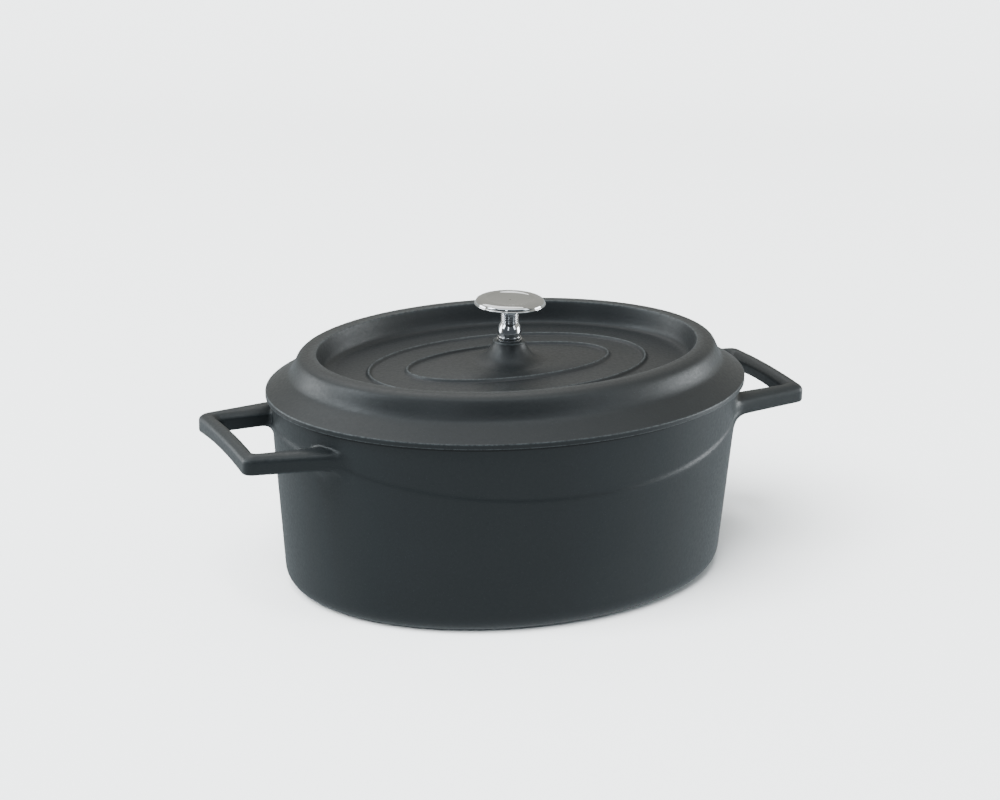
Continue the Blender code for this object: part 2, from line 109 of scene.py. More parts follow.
# Lid
LID_WALL = 4.2 * MM
PANEL_LEVEL = SEAT + 10.5 * MM
PANEL_DOME = 3.6 * MM
PANEL_MIDDLE = PANEL_LEVEL + PANEL_DOME
PANEL_EDGE = 36.8 * MM
RIB_HALF_WIDTHS = (53.0 * MM, 30.6 * MM)
RIB_HEIGHT = 1.8 * MM
RIB_WIDTH = 5.6 * MM
PAD_LEVEL = PANEL_MIDDLE - LID_WALL
HOLE = 3.5 * MM
PAD_RADIUS = 12.0 * MM
BOSS_FOOT = 20.7 * MM
BOSS_SIDE = ((17.4, 1.0), (14.5, 3.0), (12.4, 5.5), (10.6, 8.2), (9.7, 10.2))
SEAT_EDGE = 1.2 * MM
RIDGE_CLEARANCE = 1.2 * MM
RIDGE_WIDTH = 3.5 * MM
BAND_TOP = SEAT + 3.0 * MM
FLANGE_START = (2.2 * MM, SEAT + 4.3 * MM)
LID_FLANGE = [(inset * MM, SEAT + rise * MM) for inset, rise in (
    (0.45, 3.27), (2.2, 4.3), (4.5, 5.75), (8.0, 7.95), (11.0, 9.85), (13.0, 11.4), (14.0, 12.6),
    (15.2, 14.6), (16.6, 17.7), (18.0, 20.6), (19.4, 22.4), (21.6, 23.6), (24.5, 24.2))]
LID_CREST = [(inset * MM, SEAT + rise * MM) for inset, rise in (
    (24.5, 24.2), (29.2, 23.9), (29.9, 21.8), (30.7, 19.0))]
LID_INNER_WALL = [(inset * MM, SEAT + rise * MM) for inset, rise in (
    (30.7, 19.0), (31.5, 16.0), (32.3, 13.6), (33.3, 11.9), (34.8, 10.9), (36.8, 10.5))]

# Knob
TENON = 1.6 * MM
STEM_BORE = 3.3 * MM
STEM_CENTRE = 0.5 * MM        # radius of the fine hole that a turned piece keeps
CAP_CENTRE = 0.4 * MM
SOCKET_RADIUS = 4.3 * MM
SHANK_RADIUS = 3.0 * MM
SLOT_WIDTH = 1.4 * MM
SLOT_DEPTH = 1.4 * MM
LATHE_SHARP = 28.0            # degrees
NECK_RINGS = 6
NECK_PITCH = 1.3 * MM

# Finishes
ENAMEL_ROUGHNESS = 0.44
POT_TONES = ((0.020, 0.0245, 0.0262), (0.025, 0.0295, 0.0315))
LID_TONES = ((0.018, 0.021, 0.0225), (0.024, 0.027, 0.028))
WEAR_AND_HIGHLIGHT_START = 350.0            # outward curvature, per metre, where enamel begins to thin and a painted edge highlight begins
WEAR_AND_HIGHLIGHT_FULL = 1500.0
RIM_BLACK_AND_SHADE_REACH = 1.5 * MM          # how far down the wall the black rim and the painted shade of the gap reach
# black of the fired rim, which also paints the shade of the gap between lid and pot
RIM_BLACK_AND_SHADE_TONE = (0.002, 0.002, 0.002)
WEAR_AND_HIGHLIGHT_GAIN = 4.0               # how much paler outward edges are, partly thin worn enamel and partly a painted highlight
# how much paler the flecks are, which are painted glints
GLINT_FLECK_GAIN = 2.6

# Camera
CAMERA_AZIMUTH = -24.925
CAMERA_ELEVATION = 20.262
CAMERA_DISTANCE = 1.4912
CAMERA_PAN = -0.0032
CAMERA_TILT = 0.0275
CAMERA_ROLL = 1.105
CAMERA_LENS = 90.55
CAMERA_AIM = Vector((0, 0, 0.06))
LIGHT_AIM = Vector((0, 0, 0.08))
FLOOR_LEVEL = -0.0003

# Studio lights: name, azimuth, elevation, distance, size, power and colour
LIGHTS = [
    ("top_light", CAMERA_AZIMUTH - 150, 58, 1.9, (1.8, 1.2), 12, (0.98, 0.985, 1.0)),
    ("front_top", CAMERA_AZIMUTH + 8, 74, 1.7, (2.4, 0.9), 13, (0.86, 0.94, 1.0)),
    ("left_box", CAMERA_AZIMUTH - 72, 34, 1.6, (0.45, 0.9), 12, (0.86, 0.94, 1.0)),
    ("middle_box", CAMERA_AZIMUTH - 12, 30, 1.6, (0.16, 0.7), 2, (0.86, 0.94, 1.0)),
    ("right_box", CAMERA_AZIMUTH + 60, 30, 1.6, (0.4, 0.8), 3, (0.86, 0.94, 1.0)),
    ("left_side", CAMERA_AZIMUTH - 102, 6, 1.6, (0.8, 1.0), 17, (0.92, 0.97, 1.0)),
    ("right_side", CAMERA_AZIMUTH + 104, 2, 1.6, (0.8, 0.8), 20, (0.92, 0.97, 1.0)),
]
FLOOR_SUN = 12.2
FLOOR_SUN_SPREAD = 50.0       # degrees
ROOM_BELOW = (0.66, 0.74, 0.78)
ROOM_BEHIND = (0.52, 0.515, 0.475)
ROOM_FRONT = (0.09, 0.10, 0.11)

# Detail
COLUMNS = 384
LATHE_COLUMNS = 128


def edge_wear_and_highlight(mesh):
    """Stores how sharply each vertex turns outwards, from none to full wear and painted edge highlight."""
    count = len(mesh.vertices)
    places = np.empty(count * 3)
    mesh.vertices.foreach_get("co", places)
    places = places.reshape(-1, 3)
    normals = np.empty(count * 3)
    mesh.vertex_normals.foreach_get("vector", normals)
    normals = normals.reshape(-1, 3)
    ends = np.empty(len(mesh.edges) * 2, int)
    mesh.edges.foreach_get("vertices", ends)
    first, second = ends.reshape(-1, 2).T
    along = places[second] - places[first]
    turning = ((normals[second] - normals[first]) * along).sum(1)
    bend = turning / np.maximum((along ** 2).sum(1), 1e-10)
    sharpest = np.zeros(count)
    np.maximum.at(sharpest, first, bend)
    np.maximum.at(sharpest, second, bend)
    wear_and_highlight = np.clip((sharpest - WEAR_AND_HIGHLIGHT_START) / (WEAR_AND_HIGHLIGHT_FULL - WEAR_AND_HIGHLIGHT_START), 0, 1)
    mesh.attributes.new("wear_and_highlight", "FLOAT", "POINT").data.foreach_set("value", wear_and_highlight)


def new_piece(name, vertices, faces, body, node, finish, sharp=32.0):
    """A closed mesh that stands for a CAD node and rides on its body."""
    mesh = bpy.data.meshes.new(name)
    mesh.from_pydata([tuple(v) for v in vertices], [], faces)
    shape = bmesh.new()
    shape.from_mesh(mesh)
    bmesh.ops.recalc_face_normals(shape, faces=shape.faces)
    shape.to_mesh(mesh)
    shape.free()
    mesh.shade_smooth()
    mesh.set_sharp_from_angle(angle=math.radians(sharp))
    piece = bpy.data.objects.new(name, mesh)
    piece.data.materials.append(finish)
    edge_wear_and_highlight(mesh)
    bpy.context.scene.collection.objects.link(piece)
    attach(piece, body)
    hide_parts(node)
    return piece


# Profiles

def spline(points, steps):
    """A smooth curve through a profile's points, by centripetal Catmull-Rom."""
    rows = np.array(points, float)
    first = 2 * rows[0] - rows[1]
    last = 2 * rows[-1] - rows[-2]
    rows = np.vstack([first, rows, last])
    knots = np.cumsum([0] + [np.linalg.norm(b - a) ** 0.5 for a, b in zip(rows, rows[1:])])
    curve = []
    for k in range(1, len(rows) - 2):
        low, high = knots[k], knots[k + 1]
        for t in np.linspace(low, high, steps, endpoint=False):
            ends = []
            for j in (k - 1, k, k + 1):
                share = (t - knots[j]) / (knots[j + 1] - knots[j])
                ends.append(rows[j] * (1 - share) + rows[j + 1] * share)
            pair = []
            for j, (a, b) in ((k - 1, ends[:2]), (k, ends[1:])):
                share = (t - knots[j]) / (knots[j + 2] - knots[j])
                pair.append(a * (1 - share) + b * share)
            share = (t - low) / (high - low)
            curve.append(pair[0] * (1 - share) + pair[1] * share)
    curve.append(rows[-2])
    return np.array(curve)


def rounded(points, radii, steps):
    """A polyline with each inner corner replaced by a round that touches both sides."""
    rows = [np.array(p, float) for p in points]
    path = [rows[0]]
    for before, corner, after, radius in zip(rows, rows[1:], rows[2:], radii):
        back = before - corner
        ahead = after - corner
        reach = min(radius, np.linalg.norm(back) * 0.49, np.linalg.norm(ahead) * 0.49)
        start = corner + back / np.linalg.norm(back) * reach
        end = corner + ahead / np.linalg.norm(ahead) * reach
        for t in np.linspace(0, 1, steps):
            path.append(start * (1 - t) ** 2 + corner * 2 * t * (1 - t) + end * t ** 2)
    path.append(rows[-1])
    return np.array(path)


# Bodies made of rings

ANGLES = np.arange(COLUMNS) * 2 * math.pi / COLUMNS


def oval_ring(inset, heights):
    """A ring of the oval family. The inset and the height may change round the ring."""
    x = (HALF_LENGTH - inset) * np.cos(ANGLES)
    y = (HALF_WIDTH - inset) * np.sin(ANGLES)
    return np.stack([x, y, np.broadcast_to(heights, x.shape)], 1)


def half_size_ring(half_x, half_y, height):
    """A level ring with its own half sizes, for the change from oval to round."""
    return np.stack([half_x * np.cos(ANGLES), half_y * np.sin(ANGLES), np.full(COLUMNS, height)], 1)


def ring_faces(count, rings, start=0, closed=True, skip=()):
    """Quads between neighbouring rings of count points, without those in skip."""
    faces = []
    for r in range(rings - (0 if closed else 1)):
        following = (r + 1) % rings
        for k in range(count):
            if (r, k) in skip:
                continue
            n = (k + 1) % count
            faces.append((start + r * count + k, start + r * count + n,
                          start + following * count + n, start + following * count + k))
    return faces


# Pot

def outer_inset(height):
    """How far the plain outer wall lies inside the lid's edge at a height."""
    return RIM_SETBACK + (POT_HEIGHT - height) * math.tan(DRAFT)


def crease_height(x):
    """The height of the soft crease along the wall."""
    return CREASE_LOW + CREASE_RISE * (np.abs(x) / CREASE_SPAN) ** CREASE_POWER


def wall_point(angle, height):
    """A point on the outer wall, which steps back above the crease."""
    x = (HALF_LENGTH - outer_inset(height)) * np.cos(angle)
    step = CREASE_STEP / (1 + np.exp(-(height - crease_height(x)) / (CREASE_BAND / 4)))
    inset = outer_inset(height) + step
    return np.stack(np.broadcast_arrays((HALF_LENGTH - inset) * np.cos(angle),
                                        (HALF_WIDTH - inset) * np.sin(angle), height), -1)


def wall_heights():
    """Ring heights of the outer wall, one row per ring, which lean so that rows run along the crease."""
    low = BASE_RADIUS * (1 - math.sin(DRAFT)) + 0.4 * MM
    high = POT_HEIGHT - RIM_RADIUS
    band = CREASE_ROWS
    below, at_crease, above = WALL_ROWS
    levels = np.concatenate([
        np.linspace(low, CREASE_LOW - band, below, endpoint=False),
        np.linspace(CREASE_LOW - band, CREASE_LOW + band, at_crease, endpoint=False),
        np.linspace(CREASE_LOW + band, high, above),
    ])
    rows = []
    for level in levels:
        x = (HALF_LENGTH - outer_inset(level)) * np.cos(ANGLES)
        rise = crease_height(x) - CREASE_LOW
        if level < CREASE_LOW - band:
            weight = ((level - low) / (CREASE_LOW - band - low)) ** 1.5
        elif level < CREASE_LOW + band:
            weight = 1.0
        else:
            weight = 1.0 - (level - CREASE_LOW - band) / (high - CREASE_LOW - band)
        rows.append(level + rise * weight)
    return np.array(rows)


def base_rings():
    """The round between the wall and the flat underside, from the underside up."""
    centre = BASE_RADIUS
    touch = centre - BASE_RADIUS * math.sin(DRAFT)
    middle = outer_inset(touch) + BASE_RADIUS * math.cos(DRAFT)
    rings = []
    for turn in np.linspace(270, 180 + math.degrees(DRAFT), 13):
        a = math.radians(turn)
        rings.append(oval_ring(middle + BASE_RADIUS * math.cos(a), centre + BASE_RADIUS * math.sin(a)))
    return rings


def cavity_profile():
    """The rim's rounds, the inner wall, the floor's round and the floor's edge, as (inset, height)."""
    outside = RIM_SETBACK + CREASE_STEP
    inside = outside + WALL
    foot = inside + (POT_HEIGHT - FLOOR) * math.tan(DRAFT)
    path = rounded(
        [(outside + RIM_RADIUS * math.tan(DRAFT), POT_HEIGHT - RIM_RADIUS), (outside, POT_HEIGHT),
         (inside, POT_HEIGHT), (foot, FLOOR), (foot + FLOOR_EDGE, FLOOR)],
        [RIM_RADIUS * 0.98, RIM_RADIUS, FLOOR_RADIUS], ROUND_STEPS)
    floor_round = 1 + 2 * ROUND_STEPS
    rim = path[2:floor_round]
    drop = path[floor_round] - rim[-1]
    down = [rim[-1] + drop * share for share in np.linspace(0, 1, 15)[1:-1]]
    return list(rim) + down + list(path[floor_round:])


def loop_edge(reach, half_width, root, radius, neck):
    """Half of the loop's inner or outer edge in plan, from beside the wall to the bar's middle."""
    lean = math.atan2(root - half_width, reach - neck)
    turn = radius * math.tan((math.pi / 2 - lean) / 2)
    leg_end = np.array([reach - turn * math.cos(lean), half_width + turn * math.sin(lean)])
    start = np.array([neck, half_width + (reach - neck) * math.tan(lean)])
    leg = [start + (leg_end - start) * share for share in np.linspace(0, 1, 12, endpoint=False)]
    centre = np.array([reach - radius, half_width - turn])
    sweep = math.pi / 2 - lean
    bend = [centre + radius * np.array([math.cos(a), math.sin(a)]) for a in np.linspace(sweep, 0, 12)]
    bar = [np.array([reach, (half_width - turn) * share]) for share in np.linspace(1, 0, 22)[1:]]
    return leg + bend + bar


def loop_outline(width, thick, counts):
    """The bar's section: a soft top with a slope to its outer side.

    Its points are counted per side, from the inner side's foot up and over, to match the
    window that is cut for it in the wall.
    """
    corners = [
        (0.0, thick * 0.4), (0.0, thick * INNER_SHOULDER), (width * 0.33, thick),
        (width * 0.72, thick * 0.985), (width, thick * OUTER_SHOULDER), (width, 0.0), (0.0, 0.0),
        (0.0, thick * 0.4),
    ]
    small = 0.13 * (width + thick) / 2
    path = rounded(corners, [small * 1.6, small * 1.6, small * 1.3, small * 1.5, small, small], 10)
    lengths = np.concatenate([[0], np.cumsum(np.linalg.norm(np.diff(path, axis=0), axis=1))])
    total = lengths[-1]

    def nearest(x, y):
        return lengths[np.argmin(np.hypot(path[:, 0] - x, path[:, 1] - y))]

    stops = [nearest(0, 0) - total, nearest(0, thick * INNER_SHOULDER),
             nearest(width, thick * OUTER_SHOULDER), nearest(width, 0), nearest(0, 0)]
    points = []
    for count, start, end in zip(counts, stops, stops[1:]):
        at = (start + (end - start) * np.arange(count) / count) % total
        points.append(np.stack([np.interp(at, lengths, path[:, k]) for k in (0, 1)], 1))
    return np.concatenate(points)


def place_section(outline, inner, outer, low):
    """Stands a section between two points in plan."""
    width = np.linalg.norm(outer - inner)
    across = (outer - inner) / width
    plan = inner + outline[:, :1] * across
    return np.column_stack([plan, low + outline[:, 1]])


def loop_sections(counts):
    """Sections of one loop, from the leg at +Y round the bar to the middle."""
    wall_x = HALF_LENGTH - outer_inset(LOOP_TOP)
    wall_y = HALF_WIDTH - outer_inset(LOOP_TOP)
    inner_wall = wall_x * math.sqrt(1 - (ROOT_INNER / wall_y) ** 2)
    outer_wall = wall_x * math.sqrt(1 - (ROOT_OUTER / wall_y) ** 2)
    inner_reach = LOOP_REACH - LOOP_BAR
    inner_half = LOOP_HALF_WIDTH - LOOP_LEG
    start = inner_wall + NECK
    inner_spread = ROOT_INNER - inner_half
    outer_spread = ROOT_OUTER - LOOP_HALF_WIDTH
    inner_root = inner_half + inner_spread * (inner_reach - start) / (inner_reach - inner_wall)
    outer_root = LOOP_HALF_WIDTH + outer_spread * (LOOP_REACH - start) / (LOOP_REACH - outer_wall)
    outer = loop_edge(LOOP_REACH, LOOP_HALF_WIDTH, outer_root, CORNER_OUTER, start)
    inner = loop_edge(inner_reach, inner_half, inner_root, CORNER_INNER, start)
    sections = []
    for near, far in zip(inner, outer):
        share = 1 - min(1.0, far[1] / (LOOP_HALF_WIDTH - CORNER_OUTER)) ** 2
        low = LOOP_TOP - LOOP_THICK + LOOP_ARCH * share
        high = LOOP_TOP + LOOP_CROWN * share
        outline = loop_outline(np.linalg.norm(far - near), high - low, counts)
        sections.append(place_section(outline, near, far, low))
    width = math.hypot(inner_wall - outer_wall, ROOT_OUTER - ROOT_INNER)
    outline = loop_outline(width, LOOP_THICK, counts)
    chord = place_section(outline, np.array([inner_wall, ROOT_INNER]),
                          np.array([outer_wall, ROOT_OUTER]), LOOP_TOP - LOOP_THICK)
    return sections, chord


def inside_wall(points):
    """Below zero inside the outer wall."""
    height = points[:, 2]
    x = points[:, 0]
    step = CREASE_STEP / (1 + np.exp(-(height - crease_height(x)) / (CREASE_BAND / 4)))
    inset = outer_inset(height) + step
    return (x / (HALF_LENGTH - inset)) ** 2 + (points[:, 1] / (HALF_WIDTH - inset)) ** 2 - 1


def fillet_rings(section, chord, window):
    """Rings from a leg's section to its window in the wall, with a round at the corner.

    Each ray runs along the leg to where it would meet the wall, and then along the wall to
    its point of the window. A curve takes the place of the corner between the two. window
    holds the angle and the height of each of the window's points.
    """
    low = np.zeros(len(section))
    high = np.full(len(section), 3.0)
    for _ in range(40):
        middle = (low + high) / 2
        points = section + (chord - section) * middle[:, None]
        within = inside_wall(points) < 0
        high = np.where(within, middle, high)
        low = np.where(within, low, middle)
    corner = section + (chord - section) * high[:, None]
    inset = outer_inset(corner[:, 2])
    corner_angle = np.arctan2(corner[:, 1] / (HALF_WIDTH - inset), corner[:, 0] / (HALF_LENGTH - inset))
    edge = wall_point(window[:, 0], window[:, 1])
    centre = section.mean(0)
    flat = np.linalg.norm(section[:, :2] - centre[:2], axis=1)
    side = np.sign(section[:, 1] - centre[1]) * flat / flat.max()
    up = (section[:, 2] - centre[2]) / np.abs(section[:, 2] - centre[2]).max()
    around = np.arctan2(up, side)
    vertical = np.sin(around) ** 2
    radius = vertical * np.where(up > 0, FILLET_TOP, GUSSET)
    radius = radius + (1 - vertical) * np.where(side > 0, FILLET_OUTER, FILLET_INNER)
    leg_length = np.linalg.norm(section - corner, axis=1)
    wall_length = np.linalg.norm(edge - corner, axis=1)
    leg_share = np.minimum(radius / leg_length, 0.95)
    wall_share = np.minimum(radius / wall_length, 0.95)

    def on_leg(share):
        return corner + (section - corner) * share[:, None]

    def on_wall(share):
        angle = corner_angle + (window[:, 0] - corner_angle) * share
        return wall_point(angle, corner[:, 2] + (window[:, 1] - corner[:, 2]) * share)

    rings = []
    for t in np.linspace(0, 1, 6, endpoint=False)[1:]:
        rings.append(on_leg(1 + (leg_share - 1) * t))
    start, end = on_leg(leg_share), on_wall(wall_share)
    for t in np.linspace(0, 1, 10):
        rings.append(start * (1 - t) ** 2 + corner * 2 * t * (1 - t) + end * t ** 2)
    for t in np.linspace(0, 1, 5)[1:-1]:
        rings.append(on_wall(wall_share + (1 - wall_share) * t))
    return rings


def window_cells(heights):
    """The window of one leg root: its first and last column and row."""
    level = outer_inset(LOOP_TOP)
    first = math.asin(WINDOW_INNER / (HALF_WIDTH - level)) * COLUMNS / (2 * math.pi)
    last = math.asin(WINDOW_OUTER / (HALF_WIDTH - level)) * COLUMNS / (2 * math.pi)
    first, last = int(first), int(last) + 1
    column = heights[:, (first + last) // 2]
    low = int(np.argmin(np.abs(column - (LOOP_TOP - LOOP_THICK - GUSSET - WINDOW_BELOW))))
    high = int(np.argmin(np.abs(column - (LOOP_TOP + FILLET_TOP + WINDOW_ABOVE))))
    return first, last, low, high


def window_border(first, last, low, high):
    """The window's border as (row, column), from its low inner corner up and over."""
    border = [(row, first) for row in range(low, high)]
    border += [(high, column) for column in range(first, last)]
    border += [(row, last) for row in range(high, low, -1)]
    border += [(low, column) for column in range(last, first, -1)]
    return border


def make_pot(finish):
    """The vessel and its two loops as one casting."""
    heights = wall_heights()
    wall = [wall_point(ANGLES, row) for row in heights]
    base = base_rings()
    closing = np.linspace(CENTRE_SHARE, 1, 12, endpoint=False)
    under = [base[0] * (share, share, 1) for share in closing]
    cavity = [oval_ring(inset, height) for inset, height in cavity_profile()]
    opening = np.linspace(1, CENTRE_SHARE, 12)[1:]
    floor = [cavity[-1] * (share, share, 1) for share in opening]
    rings = under + base + wall + cavity + floor
    first_wall = len(under) + len(base)
    first, last, low, high = window_cells(heights)
    border = window_border(first, last, low, high)
    counts = (high - low, last - first, high - low, last - first)
    sections, chord = loop_sections(counts)
    window = np.array([(ANGLES[column], heights[row, column]) for row, column in border])
    quarter = fillet_rings(sections[0], chord, window)[::-1] + sections
    skip = set()
    for row in range(low, high):
        for column in range(first, last):
            for k in (column, COLUMNS // 2 - 1 - column, COLUMNS // 2 + column, COLUMNS - 1 - column):
                skip.add((first_wall + row, k))
    vertices = list(np.concatenate(rings))
    faces = ring_faces(COLUMNS, len(rings), closed=False, skip=skip)
    faces.append(tuple(range(COLUMNS)))
    faces.append(tuple(range((len(rings) - 1) * COLUMNS, len(rings) * COLUMNS)))
    for side in (1, -1):
        full = quarter + [ring * (1, -1, 1) for ring in reversed(quarter[:-1])]
        ends = []
        for leg in (1, -1):
            columns = []
            for row, column in border:
                if side > 0:
                    place = column if leg > 0 else (COLUMNS - column) % COLUMNS
                else:
                    place = COLUMNS // 2 - column if leg > 0 else COLUMNS // 2 + column
                columns.append((first_wall + row) * COLUMNS + place)
            ends.append(columns)
        start = len(vertices)
        for ring in full:
            vertices.extend(ring * (side, 1, 1))
        count = len(border)
        faces += ring_faces(count, len(full), start, closed=False)
        for columns, ring_start in ((ends[0], start), (ends[1], start + (len(full) - 1) * count)):
            for k in range(count):
                n = (k + 1) % count
                faces.append((columns[k], columns[n], ring_start + n, ring_start + k))
    return new_piece("pot_casting", vertices, faces, "pot", "pot", finish)


# Lid

def panel_height(inset):
    """The height of the dished panel, which rises a little to its middle."""
    share = np.clip((inset - PANEL_EDGE) / (HALF_WIDTH - PANEL_EDGE), 0, 1)
    return PANEL_LEVEL + PANEL_DOME * share ** 1.5


def rib_profile(inset):
    """The profile across one rib: soft feet, steep sides and a narrow round crest."""
    points = []
    for across in np.linspace(-1, 1, 17):
        rise = (0.5 + 0.5 * math.cos(math.pi * across)) ** 2.2
        at = inset + across * RIB_WIDTH / 2
        points.append((at, panel_height(at) + RIB_HEIGHT * rise))
    return points


def lid_top_profile():
    """The lid's upper side from the seat inwards to past the inner rib, as (inset, height)."""
    band = rounded([(SEAT_EDGE, SEAT), (0.0, SEAT), (0.0, BAND_TOP), FLANGE_START],
                   [0.4 * MM, 0.4 * MM], 5)
    flange = spline(LID_FLANGE, 4)
    crest = rounded(LID_CREST, [0.6 * MM, 0.7 * MM], 6)
    inner = spline(LID_INNER_WALL, 4)
    upright = [(0.0, BAND_TOP * share + SEAT * (1 - share)) for share in (0.25, 0.5, 0.75)]
    path = [tuple(point) for point in band[:6]] + upright + [tuple(point) for point in band[6:-1]]
    for part in (flange, crest[1:], inner[1:]):
        path += [tuple(point) for point in part]
    start = PANEL_EDGE
    for half in RIB_HALF_WIDTHS:
        inset = HALF_WIDTH - half
        for at in np.linspace(start, inset - RIB_WIDTH / 2, 8)[1:-1]:
            path.append((at, float(panel_height(at))))
        path += rib_profile(inset)
        start = inset + RIB_WIDTH / 2
    return path


def lid_underside_profile():
    """The lid's lower side from the panel out to the seat, as (inset, height)."""
    ridge_outside = RIM_SETBACK + WALL + RIDGE_CLEARANCE
    ridge_inside = ridge_outside + RIDGE_WIDTH
    panel = PANEL_LEVEL - LID_WALL
    rise = spline([
        (38.4 * MM, panel + 0.05 * MM), (PANEL_EDGE - 1.0 * MM, panel), (29.8 * MM, panel + 1.2 * MM),
        (28.2 * MM, panel + 4.2 * MM), (26.4 * MM, SEAT + 18.6 * MM), (23.6 * MM, SEAT + 20.0 * MM),
        (20.6 * MM, SEAT + 17.6 * MM), (18.2 * MM, SEAT + 9.0 * MM), (13.8 * MM, SEAT + 6.4 * MM),
        (ridge_inside, SEAT + 1.5 * MM)], 4)
    ridge = rounded([
        rise[-1], (ridge_inside, RIDGE_FOOT), (ridge_outside, RIDGE_FOOT), (ridge_outside, SEAT),
        (SEAT_EDGE, SEAT)], [1.2 * MM, 1.2 * MM, 0.6 * MM], 5)
    return [tuple(point) for point in rise] + [tuple(point) for point in ridge[1:-1]]


def boss_profile():
    """The boss from its spread foot on the panel up to its flat top, as (radius, height)."""
    foot = PANEL_MIDDLE
    slope = [(radius * MM, foot + rise * MM) for radius, rise in BOSS_SIDE]
    side = spline([(BOSS_FOOT, foot)] + slope + [(9.4 * MM, BOSS_TOP - 0.9 * MM)], 4)
    top = rounded([side[-1], (9.3 * MM, BOSS_TOP), (HOLE, BOSS_TOP)], [0.7 * MM], 6)
    return [tuple(point) for point in side] + [tuple(point) for point in top[1:]]


def make_lid(finish):
    """The lid: edge, flange, raised ring, ribbed panel, boss, and the ridge under it."""
    rings = [oval_ring(inset, height) for inset, height in lid_top_profile()]
    last_inset = HALF_WIDTH - RIB_HALF_WIDTHS[-1] + RIB_WIDTH / 2
    long_start, wide_start = HALF_LENGTH - last_inset, HALF_WIDTH - last_inset
    boss = boss_profile()
    for share in np.linspace(0, 1, 14)[1:-1]:
        half_x = long_start + (BOSS_FOOT - long_start) * share
        half_y = wide_start + (BOSS_FOOT - wide_start) * share
        level = panel_height(last_inset)
        level += (PANEL_MIDDLE - level) * math.sin(share * math.pi / 2)
        rings.append(half_size_ring(half_x, half_y, level))
    rings += [half_size_ring(radius, radius, height) for radius, height in boss]
    for height in np.linspace(BOSS_TOP, PAD_LEVEL, 8)[1:]:
        rings.append(half_size_ring(HOLE, HOLE, height))
    rings.append(half_size_ring(PAD_RADIUS, PAD_RADIUS, PAD_LEVEL))
    under = lid_underside_profile()
    first_inset, first_level = under[0]
    outer_x, outer_y = HALF_LENGTH - first_inset, HALF_WIDTH - first_inset
    for share in np.linspace(0, 1, 14)[1:-1]:
        half_x = PAD_RADIUS + (outer_x - PAD_RADIUS) * share
        half_y = PAD_RADIUS + (outer_y - PAD_RADIUS) * share
        level = first_level + (PAD_LEVEL - first_level) * (1 - share) ** 1.5
        rings.append(half_size_ring(half_x, half_y, level))
    rings += [oval_ring(inset, height) for inset, height in under]
    vertices = np.concatenate(rings)
    faces = ring_faces(COLUMNS, len(rings))
    return new_piece("lid_casting", vertices, faces, "lid", "lid", finish)


# Knob and its fixings

def lathe(name, profile, node, finish, closed=True):
    """A turned piece from a closed profile of (radius, height) points."""
    turn = np.arange(LATHE_COLUMNS) * 2 * math.pi / LATHE_COLUMNS
    rings = []
    for radius, height in profile:
        level = np.full(LATHE_COLUMNS, height)
        rings.append(np.stack([radius * np.cos(turn), radius * np.sin(turn), level], 1))
    faces = ring_faces(LATHE_COLUMNS, len(rings), closed=closed)
    if not closed:
        faces.append(tuple(range(LATHE_COLUMNS)))
        faces.append(tuple(range((len(rings) - 1) * LATHE_COLUMNS, len(rings) * LATHE_COLUMNS)))
    return new_piece(name, np.concatenate(rings), faces, "lid", node, finish, LATHE_SHARP)


def make_cap(finish):
    """The polished cap: a shallow cone below, a lip, a round shoulder and a dished top.

    A fine hole is left along its axis, from the dish to the stem's socket.
    """
    low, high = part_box("knob_cap")
    radius = high.x
    bottom, top = low.z, high.z
    under = spline([(7.6 * MM, bottom), (11.0 * MM, bottom + 0.3 * MM), (16.0 * MM, bottom + 0.8 * MM),
                    (radius - 0.9 * MM, bottom + 1.2 * MM)], 6)
    lip = rounded([under[-1], (radius, bottom + 1.3 * MM), (radius, bottom + 2.0 * MM),
                   (radius - 0.5 * MM, bottom + 2.3 * MM)], [0.3 * MM, 0.3 * MM], 7)
    shoulder = spline([(radius - 0.5 * MM, bottom + 2.3 * MM), (radius - 0.7 * MM, bottom + 3.1 * MM),
                       (radius - 1.3 * MM, bottom + 3.85 * MM), (radius - 2.5 * MM, bottom + 4.4 * MM),
                       (radius - 4.2 * MM, top - 0.1 * MM), (radius - 6.3 * MM, top)], 7)
    dish = spline([(radius - 6.3 * MM, top), (13.9 * MM, top - 0.1 * MM), (13.2 * MM, top - 0.38 * MM),
                   (10.0 * MM, top - 0.75 * MM), (5.0 * MM, top - 0.96 * MM),
                   (CAP_CENTRE, top - 1.0 * MM)], 6)
    socket = [(SOCKET_RADIUS, bottom + TENON), (SOCKET_RADIUS, bottom)]
    profile = socket + list(under) + list(lip[1:]) + list(shoulder[1:]) + list(dish[1:])
    profile.append((CAP_CENTRE, bottom + TENON))
    return lathe("cap", profile, "knob_cap", finish)


